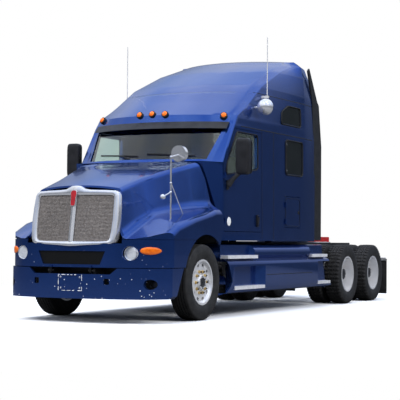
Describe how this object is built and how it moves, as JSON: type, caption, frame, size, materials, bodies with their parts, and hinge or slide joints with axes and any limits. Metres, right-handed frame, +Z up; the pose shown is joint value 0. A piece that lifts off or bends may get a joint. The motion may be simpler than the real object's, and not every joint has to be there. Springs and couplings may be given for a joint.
{
  "type": "semi truck tractor unit",
  "caption": "Long-nosed highway tractor unit with high-roof sleeper, tilting hood, opening doors, steered front wheels, twin rear wheels and fifth wheel.",
  "frame": {"origin": "on the ground, under the middle of the truck's length and width", "axes": "+X towards the truck's left side, +Y towards its rear, +Z up"},
  "size_m": [2.978, 9.06, 4.0299],
  "materials": {
    "blue_paint": "deep metallic blue, clear coated",
    "chassis_black": "satin black chassis paint",
    "engine_grey": "dull grey",
    "radiator_metal": "dull aluminium core",
    "bare_steel": "dark forged steel",
    "polished_aluminium": "polished",
    "chrome_trim": "bright chrome",
    "grille_mesh": "grey mesh",
    "lamp_glass": "clear lens",
    "amber_lens": "amber lens",
    "red_lens": "red lens",
    "black_plastic": "black moulded plastic",
    "window_glass": "clear, faint green tint",
    "side_glass": "green tint",
    "dark_glass": "dark tint",
    "black_rubber": "matt black rubber",
    "interior_plastic": "grained grey",
    "seat_fabric": "woven grey",
    "bunk_fabric": "woven light grey",
    "red_box": "gloss red",
    "plate_steel": "greased dark steel",
    "tyre_rubber": "tyre rubber"
  },
  "bodies": {
    "chassis": {"antennas": "black_plastic", "bumper": "blue_paint", "bunk": "bunk_fabric", "cab_shell": "blue_paint", "dashboard": "interior_plastic", "deck_box": "red_box", "deck_plate": "polished_aluminium", "driveshafts": "bare_steel", "fifth_wheel_base": "chassis_black", "frame": "chassis_black", "front_axle": "chassis_black", "fuel_tanks": "polished_aluminium", "marker_lamps": "amber_lens", "mud_flaps": "black_rubber", "powertrain": "engine_grey", "radiator": "radiator_metal", "raised_roof": "blue_paint", "rear_axles": "chassis_black", "roof_cap": "blue_paint", "seats": "seat_fabric", "side_extenders": "black_rubber", "side_panels": "blue_paint", "sleeper_glass": "dark_glass", "sleeper_shell": "blue_paint", "step_treads": "chrome_trim", "suspension": "chassis_black", "tail_lamps": "red_lens", "visor": "black_plastic", "windshield": "window_glass"},
    "hood": {"hood_shell": "blue_paint", "grille_surround": "chrome_trim", "grille_meshes": "grille_mesh", "headlamps": "lamp_glass", "turn_signals": "amber_lens", "arch_liners": "black_plastic", "hood_mirror": "chrome_trim"},
    "door_left": {"door_left": "blue_paint", "door_glass_left": "side_glass", "door_mirror_left": "black_plastic"},
    "luggage_door_left": {"luggage_door_left": "blue_paint"},
    "knuckle_left": {"knuckle_left": "bare_steel"},
    "front_wheel_left": {"tyre_front_left": "tyre_rubber", "rim_front_left": "polished_aluminium"},
    "rear_wheels_1_left": {"tyres_rear_1_left": "tyre_rubber", "rims_rear_1_left": "polished_aluminium"},
    "rear_wheels_2_left": {"tyres_rear_2_left": "tyre_rubber", "rims_rear_2_left": "polished_aluminium"},
    "door_right": {"door_right": "blue_paint", "door_glass_right": "side_glass", "door_mirror_right": "black_plastic"},
    "luggage_door_right": {"luggage_door_right": "blue_paint"},
    "knuckle_right": {"knuckle_right": "bare_steel"},
    "front_wheel_right": {"tyre_front_right": "tyre_rubber", "rim_front_right": "polished_aluminium"},
    "rear_wheels_1_right": {"tyres_rear_1_right": "tyre_rubber", "rims_rear_1_right": "polished_aluminium"},
    "rear_wheels_2_right": {"tyres_rear_2_right": "tyre_rubber", "rims_rear_2_right": "polished_aluminium"},
    "tie_rod": {"tie_rod": "bare_steel"},
    "fifth_wheel_plate": {"fifth_wheel_plate": "plate_steel"}
  },
  "joints": [
    {"name": "hood_hinge", "type": "hinge", "parent": "chassis", "child": "hood", "pos_m": [0, -4.48, 0.658], "axis": [1, 0, 0], "range_deg": [0, 70]},
    {"name": "door_hinge_left", "type": "hinge", "parent": "chassis", "child": "door_left", "pos_m": [1.172, -2.46156, 1.4], "axis": [0, 0, -1], "range_deg": [0, 70]},
    {"name": "luggage_hinge_left", "type": "hinge", "parent": "chassis", "child": "luggage_door_left", "pos_m": [1.172, -0.3461, 1.4], "axis": [0, 0, -1], "range_deg": [0, 90]},
    {"name": "steer_left", "type": "hinge", "parent": "chassis", "child": "knuckle_left", "pos_m": [0.86, -3.12, 0.5], "axis": [0, 0, 1], "range_deg": [-35, 35]},
    {"name": "front_wheel_spin_left", "type": "hinge", "parent": "knuckle_left", "child": "front_wheel_left", "pos_m": [1.0485, -3.12, 0.5], "axis": [1, 0, 0], "continuous": true},
    {"name": "rear_wheel_spin_1_left", "type": "hinge", "parent": "chassis", "child": "rear_wheels_1_left", "pos_m": [0.905, 2.34, 0.5], "axis": [1, 0, 0], "continuous": true},
    {"name": "rear_wheel_spin_2_left", "type": "hinge", "parent": "chassis", "child": "rear_wheels_2_left", "pos_m": [0.905, 3.66, 0.5], "axis": [1, 0, 0], "continuous": true},
    {"name": "door_hinge_right", "type": "hinge", "parent": "chassis", "child": "door_right", "pos_m": [-1.172, -2.46156, 1.4], "axis": [0, 0, 1], "range_deg": [0, 70]},
    {"name": "luggage_hinge_right", "type": "hinge", "parent": "chassis", "child": "luggage_door_right", "pos_m": [-1.172, -0.3461, 1.4], "axis": [0, 0, 1], "range_deg": [0, 90]},
    {"name": "steer_right", "type": "hinge", "parent": "chassis", "child": "knuckle_right", "pos_m": [-0.86, -3.12, 0.5], "axis": [0, 0, 1], "range_deg": [-35, 35]},
    {"name": "front_wheel_spin_right", "type": "hinge", "parent": "knuckle_right", "child": "front_wheel_right", "pos_m": [-1.0485, -3.12, 0.5], "axis": [1, 0, 0], "continuous": true},
    {"name": "rear_wheel_spin_1_right", "type": "hinge", "parent": "chassis", "child": "rear_wheels_1_right", "pos_m": [-0.905, 2.34, 0.5], "axis": [1, 0, 0], "continuous": true},
    {"name": "rear_wheel_spin_2_right", "type": "hinge", "parent": "chassis", "child": "rear_wheels_2_right", "pos_m": [-0.905, 3.66, 0.5], "axis": [1, 0, 0], "continuous": true},
    {"name": "tie_rod_pivot", "type": "hinge", "parent": "knuckle_left", "child": "tie_rod", "pos_m": [0.86, -2.92, 0.39], "axis": [0, 0, 1], "range_deg": [-35, 35]},
    {"name": "fifth_wheel_tilt", "type": "hinge", "parent": "chassis", "child": "fifth_wheel_plate", "pos_m": [0, 2.56, 1.14], "axis": [1, 0, 0], "range_deg": [-12, 12]}
  ],
  "couplings": [
    {"joint": "steer_right", "follows": "steer_left", "ratio": 1},
    {"joint": "tie_rod_pivot", "follows": "steer_left", "ratio": -1}
  ]
}
